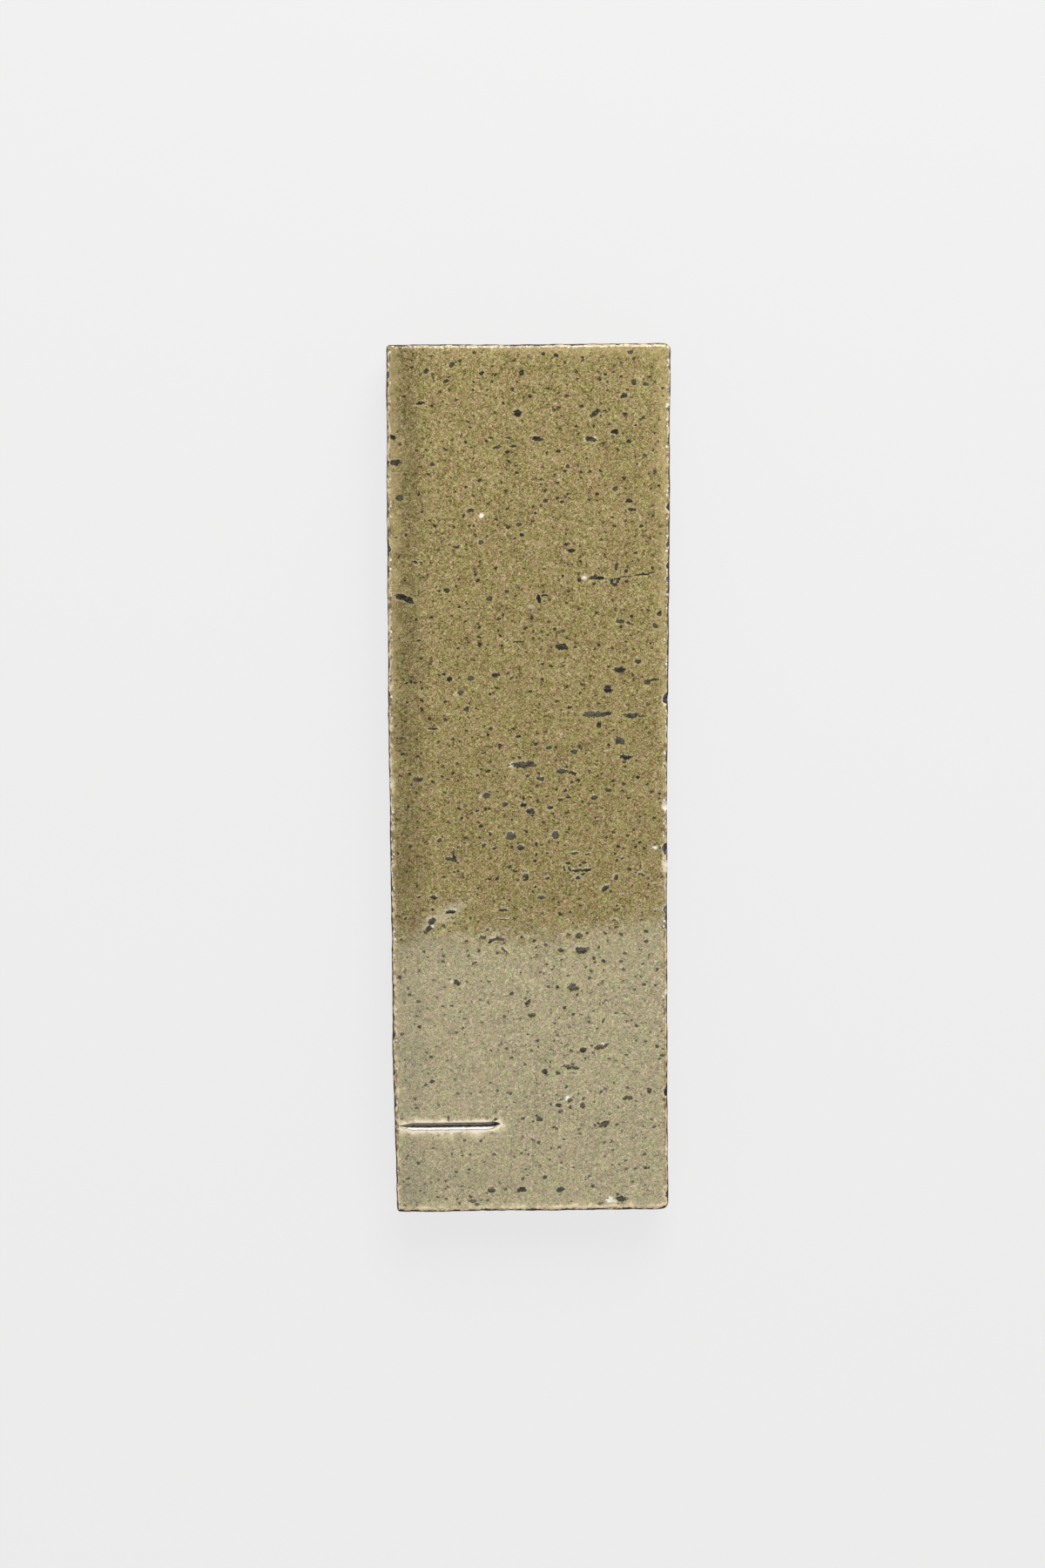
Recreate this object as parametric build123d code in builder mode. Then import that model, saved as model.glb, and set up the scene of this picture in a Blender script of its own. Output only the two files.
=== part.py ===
import os
from math import sqrt

from build123d import *

# Thin brick tile: one fired slip, laid on its back with the glazed face up.
# X runs across the tile, Y along it towards the head, Z out of the face.
# Millimetres, with the origin under the middle of the tile's bounding box.

# Slip
length = 203.0  # head to foot
width = 65.0  # at the head
foot_taper = 0.5  # how much narrower the foot is
thickness = 13.0
bow = 0.55  # both long edges bend this far towards -X at mid-length
foot_skew = 0.45  # the foot's right corner lies this much nearer the head
left_corner_radius = 1.3
right_corner_radius = 1.6
arris_radius = 1.0  # rounding where the glaze rolls over the face's edges
back_chamfer = 0.5  # worn edge round the back

# Margins of the face, which fall away towards the long edges
left_margin = 6.5
left_drop = 0.55
right_margin = 4.5
right_drop = 0.2

# Slit pressed into the face near the foot: it starts as a point beside the left edge,
# and its other end is shaped like a nib with the tip above the middle line
slit_from_foot = 21.0
slit_from_left = 1.0
slit_length = 24.1
slit_width = 1.65
slit_point = 3.3  # length of the pointed start
slit_nib = 1.7  # length of the nib
slit_nib_rise = 0.4
slit_depth = 2.0
slit_floor_width = 0.4
slit_end_lean = 1.2  # how far each end leans in on its way to the floor

# Chips along the arrises: each scoop's distance from the head, its radius,
# and its bite, which is how far it cuts in from the square corner
right_chips = [
    (81.3, 1.6, 1.0),
    (106.3, 1.3, 1.0),
    (116.4, 1.3, 1.3),
    (120.1, 2.0, 0.75),
    (130.8, 1.1, 0.9),
    (174.3, 1.3, 1.0),
    (199.2, 2.4, 0.75),
]
left_chips = [(6.8, 0.9, 0.8), (46.3, 1.2, 0.85), (100.2, 1.8, 0.7)]

overcut = 1.0  # how far a cutting form runs past the slip

# The bow carries the slip to -X, so the outline is set back to keep its box on the origin
foot_width = width - foot_taper
overall_width = width / 2 + (width + foot_width) / 4 + bow
set_back = (overall_width - width) / 2

head_left = Vector(set_back - width / 2, length / 2)
head_right = Vector(set_back + width / 2, length / 2)
foot_left = Vector(set_back - foot_width / 2, -length / 2)
foot_right = Vector(set_back + foot_width / 2, foot_skew - length / 2)


def bowed_edge(head, foot):
    middle = (head + foot) / 2 - Vector(bow, 0)
    return ThreePointArc(head, middle, foot)


def margin_fall(margin, drop, reach):
    # Height lost at the given reach by an arc that leaves the flat and loses drop over margin
    roll_radius = (margin**2 + drop**2) / (2 * drop)
    return roll_radius - sqrt(roll_radius**2 - reach**2)


def slit_outline(start, end, across):
    # The slit's outline at one depth, drawn from the point beside the left edge
    Polyline(
        (start, 0),
        (start + slit_point, across / 2),
        (end - slit_nib, across / 2),
        (end, slit_nib_rise * across / slit_width),
        (end - slit_nib, -across / 2),
        (start + slit_point, -across / 2),
        close=True,
    )


def scoop_chips(edge, chips, drop, outward):
    # Each scoop is a ball whose centre stands off the square corner, out and up at 45 degrees
    for from_head, radius, bite in chips:
        stand_off = (radius - bite) / sqrt(2)
        corner = edge @ (from_head / length)
        with Locations(corner + Vector(outward * stand_off, 0, thickness - drop + stand_off)):
            Sphere(radius, mode=Mode.SUBTRACT)


with BuildPart() as thin_brick_tile:
    # Plan of the slip
    with BuildSketch() as plan:
        with BuildLine():
            left_edge = bowed_edge(head_left, foot_left)
            right_edge = bowed_edge(head_right, foot_right)
            Line(head_left, head_right)
            Line(foot_left, foot_right)
        make_face()
        fillet(plan.vertices().sort_by(Axis.X)[:2], left_corner_radius)
        fillet(plan.vertices().sort_by(Axis.X)[-2:], right_corner_radius)
    extrude(amount=thickness)

    # Cross-section: a flat face between two margins that roll down to the long edges
    flat_left = left_margin - overall_width / 2
    flat_right = overall_width / 2 - right_margin
    outer = overall_width / 2 + overcut
    left_fall = margin_fall(left_margin, left_drop, left_margin + overcut)
    right_fall = margin_fall(right_margin, right_drop, right_margin + overcut)
    with BuildSketch(Plane.XZ) as section:
        with BuildLine():
            Line((flat_left, thickness), (flat_right, thickness))
            right_roll = TangentArc(
                (flat_right, thickness), (outer, thickness - right_fall), tangent=(1, 0)
            )
            left_roll = TangentArc(
                (flat_left, thickness), (-outer, thickness - left_fall), tangent=(-1, 0)
            )
            Polyline(right_roll @ 1, (outer, -overcut), (-outer, -overcut), left_roll @ 1)
        make_face()
    extrude(amount=length / 2 + overcut, both=True, mode=Mode.INTERSECT)

    # Rounded arris round the face, and a worn edge round the back
    face_rim = (
        thin_brick_tile.edges()
        .filter_by(Axis.Y, reverse=True)
        .filter_by(Axis.Z, reverse=True)
        .filter_by_position(Axis.Z, thickness / 2, thickness)
    )
    fillet(face_rim, arris_radius)
    chamfer(thin_brick_tile.faces().sort_by(Axis.Z)[0].edges(), back_chamfer)

    # Slit, from its mouth in the face down to its floor
    slit_edge = left_edge @ (1 - slit_from_foot / length)
    mouth_plane = Plane(slit_edge + Vector(slit_from_left, 0, thickness))
    with BuildSketch(mouth_plane) as mouth:
        with BuildLine():
            slit_outline(0, slit_length, slit_width)
        make_face()
    with BuildSketch(mouth_plane.offset(-slit_depth)) as slit_floor:
        with BuildLine():
            slit_outline(slit_end_lean, slit_length - slit_end_lean, slit_floor_width)
        make_face()
    loft(ruled=True, mode=Mode.SUBTRACT)

    # Chips knocked out of the two long arrises
    scoop_chips(right_edge, right_chips, right_drop, 1)
    scoop_chips(left_edge, left_chips, left_drop, -1)

thin_brick_tile.part.label = "thin_brick_tile"

os.makedirs("parts", exist_ok=True)
export_step(thin_brick_tile.part, "parts/thin_brick_tile.step")
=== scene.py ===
import bpy
import math
import numpy as np
from itertools import product
from mathutils import Matrix, Vector
from mathutils.geometry import delaunay_2d_cdt
from types import SimpleNamespace


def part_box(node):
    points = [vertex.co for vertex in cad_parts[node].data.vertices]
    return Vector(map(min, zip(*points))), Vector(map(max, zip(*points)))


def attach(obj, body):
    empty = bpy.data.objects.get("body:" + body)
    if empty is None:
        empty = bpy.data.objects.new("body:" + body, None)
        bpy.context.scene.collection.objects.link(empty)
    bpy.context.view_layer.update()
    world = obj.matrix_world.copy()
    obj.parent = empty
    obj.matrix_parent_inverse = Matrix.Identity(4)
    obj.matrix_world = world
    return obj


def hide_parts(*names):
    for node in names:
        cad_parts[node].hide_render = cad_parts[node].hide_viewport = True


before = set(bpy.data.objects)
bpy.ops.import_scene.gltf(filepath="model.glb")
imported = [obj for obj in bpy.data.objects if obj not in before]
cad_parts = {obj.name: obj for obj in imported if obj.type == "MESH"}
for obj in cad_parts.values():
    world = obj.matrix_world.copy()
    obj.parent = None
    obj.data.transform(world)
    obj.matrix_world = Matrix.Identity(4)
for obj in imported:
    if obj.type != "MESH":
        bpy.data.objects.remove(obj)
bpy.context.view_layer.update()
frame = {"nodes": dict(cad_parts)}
print("frame loaded:", ", ".join(frame["nodes"]))

millimetre = 0.001
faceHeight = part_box("thin_brick_tile")[1][2] / millimetre

# view of the photo: the camera looks down on the lying tile as the photo looks at its face

photo = {
    "size": (1200, 1800),
    "lens": 50.0,
    "film": 36.0,            # mm, along the picture's long side
    "aim": (-1.69, 0.68),    # mm, the point of the face in the middle of the picture
    "distance": 506.2,       # mm from the face
    "pitch": 5.8,            # degrees that the camera stands towards the head
    "roll": 0.3,
}


def cameraAxes():
    # directions of the picture's right and up, and from the face back to the camera
    pitch, roll = math.radians(photo["pitch"]), math.radians(photo["roll"])
    right = np.array((1.0, 0.0, 0.0))
    up = np.array((0.0, math.cos(pitch), -math.sin(pitch)))
    back = np.array((0.0, math.sin(pitch), math.cos(pitch)))
    rolledRight = math.cos(roll) * right - math.sin(roll) * up
    rolledUp = math.sin(roll) * right + math.cos(roll) * up
    return rolledRight, rolledUp, back


def cameraPlace():
    return np.array((*photo["aim"], faceHeight)) + photo["distance"] * cameraAxes()[2]


def faceAt(px, py):
    # where a pixel of the photo falls on the face, in mm
    wide, high = photo["size"]
    focal = photo["lens"] / photo["film"] * high
    right, up, back = cameraAxes()
    ray = (px - wide / 2) / focal * right - (py - high / 2) / focal * up - back
    eye = cameraPlace()
    return (eye + ray * (faceHeight - eye[2]) / ray[2])[:2]


def pixelSize(px, py):
    # mm of the face that a pixel of the photo covers there
    return np.linalg.norm(faceAt(px + 1, py) - faceAt(px, py))


def makeCamera():
    lens = bpy.data.cameras.new("photoCamera")
    lens.lens, lens.sensor_width = photo["lens"], photo["film"]
    camera = bpy.data.objects.new("photoCamera", lens)
    axes = Matrix([Vector(axis) for axis in cameraAxes()]).transposed()
    camera.matrix_world = Matrix.Translation(cameraPlace() * millimetre) @ axes.to_4x4()
    bpy.context.collection.objects.link(camera)
    bpy.context.scene.camera = camera


makeCamera()
print("camera placed")

# smooth random fields for everything uneven about the slip

lumpCount = 64               # the fields repeat after this many lumps
lumpTable = np.random.default_rng(11).uniform(-1, 1, (lumpCount, lumpCount, lumpCount))


def lumps(x, y, size, layer):
    # random field from -1 to 1 whose lumps are about size mm across; each layer is another field
    at = np.stack(np.broadcast_arrays(x / size, y / size, layer + 0.37), axis=-1)
    low = np.floor(at).astype(int)
    part = at - low
    part = part * part * (3 - 2 * part)
    total = 0
    for corner in product((0, 1), repeat=3):
        share = np.prod(np.where(corner, part, 1 - part), axis=-1)
        index = (low + corner) % lumpCount
        total = total + share * lumpTable[index[..., 0], index[..., 1], index[..., 2]]
    return total


def easeBetween(value, low, high):
    part = np.clip((value - low) / (high - low), 0, 1)
    return part * part * (3 - 2 * part)


# plan of the slip, in mm: a rectangle with rounded corners, then tapered, bowed and skewed

slip = {
    "width": 65.0,
    "length": 203.0,
    "footTaper": 0.5,
    "bow": 0.55,
    "footSkew": 0.45,
    "leftCorner": 0.8,
    "rightCorner": 1.6,
    "arris": 1.0,
    "backChamfer": 0.5,
    "margins": {"left": (6.5, 0.55), "right": (4.5, 0.2), "head": (4.0, 0.15), "foot": (3.0, 0.1)},
    "waver": {"left": 0.15, "right": 0.15, "head": 0.15, "foot": 0.18},   # how far the edges wander
    "waverLumps": ((6.0, 0.0, 0.5), (2.4, 9.0, 0.5), (1.2, 5.0, 0.4)),    # size, place in the field, share
    "waverReach": 1.1,       # how far into the face the waver is felt
    "swells": {              # middle along the edge, reach and height
        "left": ((15.0, 20.0, 0.15), (-66.0, 24.0, 0.3)),
        "right": ((44.0, 55.0, 0.25),),
    },
    "waves": ((24, 6, 0.035), (7, 7, 0.014), (1.8, 8, 0.004)),   # of the face: size, layer, height
    "glazeEnd": 1.6,         # how far below the face the glaze stops on the sides
    "cornerReach": 6.0,      # length of edge whose points follow a corner
    "pitch": 0.42,           # grid spacing on the face
    "arrisSteps": 6,
    "sideSteps": 7,
    "backPitch": 4.0,
}
halfWidth, halfLength = slip["width"] / 2, slip["length"] / 2
setBack = slip["bow"] / 2 - slip["footTaper"] / 8


def edgeDistances(x, y):
    return {"left": halfWidth + x, "right": halfWidth - x, "head": halfLength - y, "foot": halfLength + y}


def roundCorners(x, y):
    # squares at the four corners are pressed into quarter discs
    radius = np.where(x < 0, slip["leftCorner"], slip["rightCorner"])
    a = np.maximum((np.abs(x) - halfWidth + radius) / radius, 0)
    b = np.maximum((np.abs(y) - halfLength + radius) / radius, 0)
    press = np.where((a > 0) & (b > 0), np.maximum(a, b) / np.maximum(np.hypot(a, b), 1e-9), 1)
    newX = np.where(press < 1, np.sign(x) * (halfWidth - radius + radius * a * press), x)
    newY = np.where(press < 1, np.sign(y) * (halfLength - radius + radius * b * press), y)
    return newX, newY


def warpPlan(x, y):
    # taper, bow and skew of the plain rectangle
    fromFoot = y / slip["length"] + 0.5
    across = x * (1 - slip["footTaper"] / slip["width"] * (1 - fromFoot))
    across = across + setBack - slip["bow"] * (1 - (y / halfLength) ** 2)
    along = y + slip["footSkew"] * (1 - fromFoot) * (x / slip["width"] + 0.5)
    return across, along


def waverEdges(x, y):
    # each edge wanders by itself, and the face follows within a millimetre or two
    for side, (alongX, alongY, layer) in {
        "left": (-1, 0, 1), "right": (1, 0, 2), "head": (0, 1, 3), "foot": (0, -1, 4)
    }.items():
        run = y if alongX else x
        wander = sum(share * lumps(run, start, size, layer) for size, start, share in slip["waverLumps"])
        push = slip["waver"][side] * wander
        for middle, reach, out in slip["swells"].get(side, ()):
            push = push + out * (1 - easeBetween(np.abs(run - middle), 0, reach))
        push = push * np.exp(-np.maximum(edgeDistances(x, y)[side], 0) / slip["waverReach"])
        x, y = x + alongX * push, y + alongY * push
    return x, y


def crown(x, y):
    # height lost towards the edges of the face
    fall = 0
    for side, distance in edgeDistances(x, y).items():
        margin, drop = slip["margins"][side]
        fall = fall + drop * np.maximum(1 - distance / margin, 0) ** 2
    return fall


# slit near the foot

slit = {
    "fromFoot": 21.0,
    "start": 1.0,            # from the left edge
    "length": 24.1,
    "point": 3.3,
    "nib": 1.7,
    "nibRise": 0.4,
    "width": 1.65,
    "depth": 2.0,
    "hairline": 0.3,         # depth of the crack between the slit and the left edge
    "upperWall": ((-0.15, 0.9, 1.04), (0.38, 0.07, 0)),   # half-widths above the middle, share of depth
    "lowerWall": ((0.48, 0.6, 0.95, 1.06), (1, 0.2, 0.03, 0)),   # the same below it
    "lip": 0.08,
    "lipMiddle": 0.5,        # from the mouth
    "lipReach": 0.8,
    "rows": (0, 0.08, 0.18, 0.3, 0.42, 0.58, 0.76, 0.9, 0.98, 1.05, 1.15, 1.35, 1.6, 1.9, 2.3, 2.75),
    "band": 3.2,             # half-widths taken up by those rows
    "follow": 1.3,           # half-widths within which they follow the mouth's own width
    "thinnest": 0.2,
    "settle": 9.0,           # past the nib, where the rows straighten out
    "waver": 0.08,
}
slitMiddle = slit["fromFoot"] - halfLength
slitHalf = slit["width"] / 2
slitLeft = slit["start"] - halfWidth
slitTip = slitLeft + slit["length"]


def slitShare(x):
    # width of the slit at x, as a share of its full width
    opening = np.interp(
        x,
        [slitLeft, slitLeft + slit["point"], slitTip - slit["nib"], slitTip, slitTip + slit["settle"]],
        [0, 1, 1, 0, 1],
    )
    return slit["thinnest"] + (1 - slit["thinnest"]) * opening


def slitLine(x):
    # y of the slit's middle line at x
    rise = slit["nibRise"] * easeBetween(x, slitTip - 2 * slit["nib"], slitTip)
    rise = rise * (1 - easeBetween(x, slitTip, slitTip + slit["settle"]))
    return slitMiddle + rise + slit["waver"] * lumps(x, 0.0, 6.0, 21)


def slitDepth(x):
    full = slit["depth"] * easeBetween(x, slitLeft, slitLeft + slit["point"] + 1)
    full = full * (1 - easeBetween(x, slitTip - slit["nib"], slitTip + 0.2))
    return np.maximum(full, slit["hairline"] * (x < slitLeft + 1))


def bendRows(x, part):
    # y of a slit row that lies part half-widths from the slit's middle line
    band, follow = slit["band"], slit["follow"]
    narrow = follow * slitShare(x)
    outside = narrow + (np.abs(part) - follow) * (band - narrow) / (band - follow)
    offset = np.where(np.abs(part) < follow, part * slitShare(x), np.sign(part) * outside)
    settle = 1 - (np.abs(part) / band) ** 2
    return slitMiddle + (slitLine(x) - slitMiddle) * settle + slitHalf * offset


def fromSlit(x, y):
    # distance outside the slit's mouth, negative inside it
    beside = np.abs(y - slitLine(x)) - slitHalf * slitShare(x) * (x < slitTip)
    past = np.maximum(x - slitTip, 0)
    return np.where((beside > 0) | (past > 0), np.hypot(np.maximum(beside, 0), past), beside)


def slitRelief(x, y):
    # the upper wall falls gently, the lower one steeply, and lips stand up round the mouth
    part = (y - slitLine(x)) / (slitHalf * slitShare(x))
    upper = np.interp(part, *slit["upperWall"])
    lower = np.interp(-part, *slit["lowerWall"])
    outside = fromSlit(x, y)
    lip = np.exp(-((outside - slit["lipMiddle"]) / slit["lipReach"]) ** 2) * (outside > -0.2)
    ends = easeBetween(x, slitLeft, slitLeft + 3) * (1 - easeBetween(x, slitTip, slitTip + 2))
    return slit["lip"] * lip * (0.35 + 0.65 * ends) - slitDepth(x) * np.where(part > -0.12, upper, lower)


# flecks of dark body clay that show through the glaze, as read from the photo

flecks = {
    "seenAt": (  # photo pixels: middle x, y, width, height, then tilt in degrees
        (489, 426, 9, 7, 0), (497, 431, 4, 11, 15), (518, 418, 6, 5, 0), (598, 427, 6, 6, 0),
        (594, 474, 11, 9, 0), (683, 474, 14, 6, 35), (679, 504, 11, 6, 0), (706, 496, 10, 6, 0),
        (616, 503, 16, 4, 0), (584, 502, 9, 3, 0), (571, 513, 12, 4, 5), (449, 502, 12, 6, -30),
        (453, 531, 18, 6, -8), (459, 572, 9, 8, 0), (542, 586, 10, 4, 0), (597, 602, 7, 5, 0),
        (637, 546, 5, 5, 0), (653, 535, 5, 5, 0), (627, 575, 7, 5, 0), (723, 576, 8, 5, 0),
        (727, 585, 10, 4, 0), (737, 604, 6, 5, 0), (524, 628, 8, 4, 0), (657, 632, 10, 4, 0),
        (553, 623, 6, 5, 0), (707, 561, 7, 5, 0), (483, 463, 9, 4, 0), (723, 404, 8, 5, 0),
        (760, 445, 5, 4, 0), (464, 686, 22, 6, -12), (563, 687, 7, 6, 0), (620, 687, 5, 11, 8),
        (627, 683, 9, 2.5, 5), (681, 663, 10, 4, 0), (703, 668, 4, 6, 0), (710, 666, 5, 7, 20),
        (707, 671, 9, 3, 0), (713, 655, 2, 10, 0), (731, 661, 66, 1.8, 7), (714, 714, 11, 6, 0),
        (758, 705, 6, 5, 0), (754, 719, 8, 4, -30), (514, 678, 8, 5, 0), (645, 743, 12, 7, 0),
        (648, 725, 6, 4, 0), (597, 737, 15, 3, 0), (734, 760, 8, 6, 0), (713, 769, 14, 7, 15),
        (700, 792, 10, 9, 0), (745, 783, 8, 6, 0), (518, 780, 8, 5, 0), (542, 779, 7, 6, 0),
        (571, 775, 9, 5, 0), (531, 796, 7, 6, 0), (537, 814, 6, 5, 0), (683, 821, 26, 7, 0),
        (727, 822, 18, 6, 0), (690, 832, 6, 9, 0), (714, 851, 11, 9, 0), (632, 858, 6, 5, 0),
        (662, 863, 7, 5, 0), (498, 837, 15, 3, 0), (597, 846, 10, 3, 0), (601, 878, 27, 8, 2),
        (720, 870, 16, 5, 0), (648, 886, 15, 5, 0), (481, 895, 12, 7, 0), (622, 894, 9, 6, 0),
        (560, 914, 10, 7, 0), (603, 925, 8, 5, 0), (633, 928, 8, 5, 0), (582, 924, 7, 5, 0),
        (611, 932, 10, 5, 0), (700, 908, 8, 5, 0), (684, 916, 8, 5, 0), (588, 960, 11, 9, 0),
        (640, 959, 10, 8, 0), (517, 986, 14, 3.5, 0), (522, 978, 2.2, 11, -15), (533, 984, 14, 1.8, 5),
        (649, 997, 3, 8, 0), (656, 999, 3, 7, 20), (666, 1001, 22, 3, -3), (606, 1006, 7, 6, 0),
        (696, 1021, 10, 5, 35), (624, 1031, 9, 4, 0), (497, 1058, 9, 8, 0), (494, 1066, 8, 6, 0),
        (519, 1047, 13, 5, 0), (579, 1046, 12, 4, 0), (556, 1077, 11, 5, 0), (573, 1079, 20, 4, 0),
        (666, 1076, 9, 7, 0), (669, 1092, 14, 8, 0), (659, 1134, 14, 9, 0), (525, 1128, 9, 6, 0),
        (611, 1166, 10, 5, 0), (607, 1151, 10, 4, 40), (649, 1158, 5, 5, 0), (671, 1206, 9, 6, 0),
        (689, 1203, 15, 5, 0), (653, 1225, 19, 3.5, 0), (626, 1231, 8, 5, 0), (655, 1264, 7, 5, 0),
        (642, 1270, 9, 5, 0), (670, 1270, 5, 7, 0), (722, 1262, 10, 5, 0), (746, 1253, 7, 6, 0),
        (694, 1292, 11, 6.5, 30), (620, 1286, 7, 5, 0), (496, 1242, 6, 4, 0), (563, 1367, 12, 4, 0),
        (599, 1367, 12, 5, 0), (643, 1367, 9, 5, 0), (713, 1378, 16, 5, 0), (541, 1379, 12, 4, 0),
        (467, 1353, 7, 3, 0), (514, 1284, 3, 7, 0), (568, 1286, 8, 2.5, 30), (614, 880, 12, 3, 0),
        (585, 879, 6, 2.5, 0), (697, 820, 16, 3.5, 8), (739, 822, 14, 2.5, 5), (755, 781, 14, 2.5, 5),
        (660, 888, 10, 4, -20), (634, 687, 10, 2, 0), (724, 716, 9, 2.5, -15), (652, 745, 8, 2.5, -10),
        (709, 650, 3, 14, -4), (690, 664, 20, 2.5, 5), (565, 1082, 8, 3, 20), (676, 1000, 14, 3, 0),
        (662, 1228, 10, 2.5, 5), (698, 1200, 8, 2.5, 0), (470, 690, 14, 3, -20), (526, 990, 10, 2.5, -10),
        (590, 512, 14, 2.5, 0), (618, 506, 8, 3, 0), (637, 408, 7, 4, -10), (623, 406, 5, 4, 0),
        (552, 428, 6, 5, 0), (511, 438, 7, 4, 0), (727, 439, 6, 6, 0), (741, 441, 6, 5, 0),
        (716, 454, 7, 6, 30), (463, 455, 5, 4, 0), (577, 463, 6, 4, 0), (697, 439, 4, 4, 0),
        (668, 409, 5, 4, 0), (493, 409, 11, 2.2, 8), (662, 980, 9, 4, 0), (677, 982, 8, 3, 0),
        (506, 966, 6, 5, 0), (557, 971, 5, 6, 0), (599, 974, 9, 6, 0), (617, 982, 4, 6, 0),
        (666, 1008, 5, 4, 0), (630, 1009, 5, 4, 0), (710, 1008, 5, 6, 0), (738, 1005, 14, 3, -20),
        (482, 1030, 6, 3, 0), (498, 1030, 10, 3.5, 0), (522, 1061, 10, 2.5, -30), (580, 1057, 16, 2, 0),
        (580, 1091, 10, 4, -40), (655, 1073, 5, 2.5, 0), (646, 1092, 6, 6, 0), (684, 1101, 5, 5, 0),
        (548, 1105, 6, 3, 0), (752, 1016, 6, 2.5, 0),
    ),
    "paleGlintAt": (  # photo pixels: middle x, y, width, height and tilt of pale glassy spots, partly painted glints and reflection, then how pale
        (553, 592, 6, 6, 0, 0.9), (673, 505, 9, 5, 0, 0.4), (683, 503, 4, 4, 0, 0.7),
        (588, 878, 8, 6, 0, 0.95), (610, 697, 8, 6, 0, 0.4), (671, 663, 8, 5, 0, 0.6),
        (524, 797, 6, 5, 0, 0.35), (553, 914, 5, 5, 0, 0.4), (632, 959, 5, 6, 0, 0.4),
        (512, 1049, 58, 15, 30, 0.3), (496, 1055, 20, 12, 0, 0.2), (580, 1091, 7, 6, 0, 0.45),
        (496, 1063, 6, 5, 0, 0.7), (519, 1127, 5, 5, 0, 0.45), (692, 1199, 7, 4, 0, 0.7),
        (652, 1261, 7, 6, 0, 0.75), (700, 1377, 8, 8, 0, 0.95), (706, 1379, 8, 4, 0, 0.6),
        (752, 973, 7, 4, 0, 0.7), (568, 1076, 22, 12, 0, 0.15),
    ),
    "smudgeAt": (  # likewise for soft brown smudges
        (522, 983, 26, 12, 0, 0.3), (625, 1030, 34, 12, 0, 0.35), (478, 979, 30, 18, 0, 0.3),
        (577, 1049, 16, 8, 0, 0.2), (660, 1049, 18, 9, 0, 0.25), (505, 1082, 60, 12, 0, 0.2),
        (470, 1365, 40, 22, 0, 0.3), (530, 1352, 60, 22, 0, 0.3), (600, 1362, 50, 18, 0, 0.2),
    ),
    "scattered": 330,        # smaller ones, strewn by chance
    "scatteredWide": (0.24, 0.5),
    "scatteredTall": (0.35, 0.9),   # share of the width
    "ragged": 0.3,           # how far their outlines are pushed about
    "raggedSize": 1.1,
    "depth": 0.11,           # share of a fleck's height
    "deepest": 0.12,
}
farOff = 9.0                 # distance given where nothing is near


def fleckList():
    # middle, half length, half height, tilt and lightness of every fleck, in mm
    chance = np.random.default_rng(5)
    listed = []
    for px, py, wide, tall, tilt in flecks["seenAt"]:
        x, y = faceAt(px, py)
        half = pixelSize(px, py) / 2
        listed.append((x, y, wide * half, tall * half, math.radians(tilt), chance.uniform(0, 1)))
    for _ in range(flecks["scattered"]):
        x = chance.uniform(-0.95, 0.95) * halfWidth
        y = chance.uniform(-0.97, 0.97) * halfLength
        wide = chance.uniform(*flecks["scatteredWide"])
        tall = wide * chance.uniform(*flecks["scatteredTall"])
        listed.append((x, y, wide, tall, chance.normal(0, 0.3), chance.uniform(0, 0.7)))
    return listed


def turned(x, y, angle):
    # distances along and across a direction
    return x * math.cos(angle) + y * math.sin(angle), y * math.cos(angle) - x * math.sin(angle)


def nearestFleck(x, y):
    # distance to the nearest fleck, where 1 is its edge, its lightness and the pit that it makes
    nearest, lightness, pit = np.full(x.shape, farOff), np.zeros(x.shape), np.zeros(x.shape)
    size, push = flecks["raggedSize"], flecks["ragged"]
    x, y = x + push * lumps(x, y, size, 41), y + push * lumps(x, y, size, 43)
    for middleX, middleY, wide, tall, tilt, tone in fleckList():
        along, across = turned(x - middleX, y - middleY, tilt)
        distance = np.hypot(along / wide, across / tall)
        lightness = np.where(distance < nearest, tone, lightness)
        nearest = np.minimum(nearest, distance)
        deep = min(flecks["depth"] * 2 * tall, flecks["deepest"])
        pit = np.maximum(pit, deep * (1 - easeBetween(distance, 0.35, 1.25)))
    return nearest, lightness, pit


def strongestSpot(x, y, spots):
    # strength of the strongest spot at each place; the weak ones fade far past their edge
    strongest = np.zeros(x.shape)
    for px, py, wide, tall, tilt, strength in spots:
        middleX, middleY = faceAt(px, py)
        along, across = turned(x - middleX, y - middleY, math.radians(tilt))
        distance = np.hypot(along / wide, across / tall) * 2 / pixelSize(px, py)
        fade = easeBetween(distance, 0.2 + 0.7 * strength, 1.8 - 0.75 * strength)
        strongest = np.maximum(strongest, strength * (1 - fade))
    return strongest


# chips along the arrises, at the places that the CAD slip has them and a few smaller nicks

chips = {  # distance from the head, radius of the scoop, its bite past the square corner, paleness
    "right": (
        (81.3, 1.6, 1.0, 0), (106.3, 1.3, 1.0, 1), (116.4, 1.3, 1.3, 0), (120.1, 2.0, 0.75, 1),
        (130.8, 1.1, 0.9, 0), (174.3, 1.3, 1.0, 0), (199.2, 2.4, 0.75, 0), (37.4, 1.3, 0.62, 0),
        (45.7, 0.8, 0.6, 0), (50.7, 0.8, 0.58, 0), (53.7, 0.8, 0.6, 0), (56.7, 0.8, 0.58, 0),
        (150.5, 0.8, 0.6, 1), (188.0, 0.9, 0.6, 1),
    ),
    "left": (
        (6.8, 0.9, 0.8, 0), (46.3, 1.2, 0.85, 0), (100.2, 1.8, 0.7, 1), (20.9, 0.9, 0.6, 0),
        (26.7, 0.9, 0.6, 0), (95.0, 0.9, 0.6, 1), (160.0, 0.8, 0.6, 0), (177.0, 0.8, 0.6, 0),
    ),
}


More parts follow.
